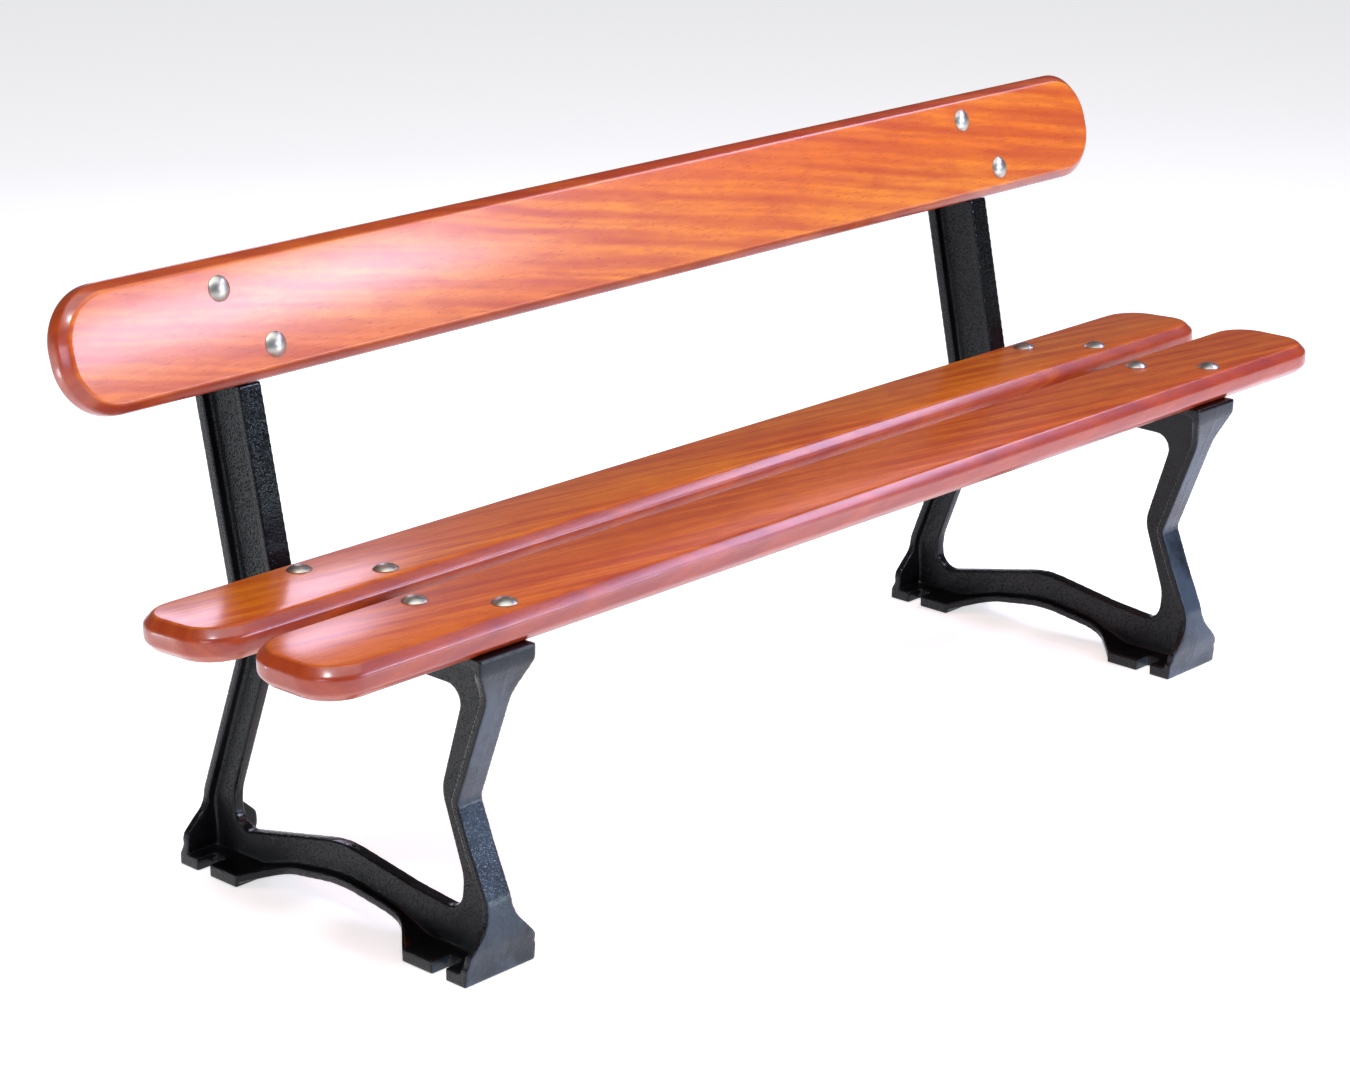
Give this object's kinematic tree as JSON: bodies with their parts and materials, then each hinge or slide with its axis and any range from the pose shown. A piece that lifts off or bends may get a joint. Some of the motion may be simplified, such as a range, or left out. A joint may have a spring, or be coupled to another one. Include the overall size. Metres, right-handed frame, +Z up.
{
  "type": "park bench with backrest",
  "caption": "Park bench: two hardwood seat planks and one leaning backrest plank bolted through to a pair of cast side frames with notched feet.",
  "frame": {"origin": "on the ground, at the middle of the bench's length and depth", "axes": "+X along the bench, +Y to the back, +Z up; the seat faces -Y"},
  "size_m": [2, 0.5554, 0.8146],
  "materials": {
    "painted_iron": "gloss black paint over sand-cast iron, slightly pitted",
    "timber": "varnished red-brown tropical hardwood, straight streaky grain",
    "steel": "satin stainless steel"
  },
  "bodies": {
    "root": {"left_frame": "painted_iron", "right_frame": "painted_iron", "backrest_plank": "timber", "rear_seat_plank": "timber", "front_seat_plank": "timber", "back_bolt_left_1": "steel", "back_bolt_left_2": "steel", "back_bolt_right_1": "steel", "back_bolt_right_2": "steel", "rear_bolt_left_1": "steel", "rear_bolt_left_2": "steel", "rear_bolt_right_1": "steel", "rear_bolt_right_2": "steel", "front_bolt_left_1": "steel", "front_bolt_left_2": "steel", "front_bolt_right_1": "steel", "front_bolt_right_2": "steel", "back_washer_left_1": "steel", "back_washer_left_2": "steel", "back_washer_right_1": "steel", "back_washer_right_2": "steel", "rear_washer_left_1": "steel", "rear_washer_left_2": "steel", "rear_washer_right_1": "steel", "rear_washer_right_2": "steel", "front_washer_left_1": "steel", "front_washer_left_2": "steel", "front_washer_right_1": "steel", "front_washer_right_2": "steel", "back_nut_left_1": "steel", "back_nut_left_2": "steel", "back_nut_right_1": "steel", "back_nut_right_2": "steel", "rear_nut_left_1": "steel", "rear_nut_left_2": "steel", "rear_nut_right_1": "steel", "rear_nut_right_2": "steel", "front_nut_left_1": "steel", "front_nut_left_2": "steel", "front_nut_right_1": "steel", "front_nut_right_2": "steel"}
  },
  "joints": []
}
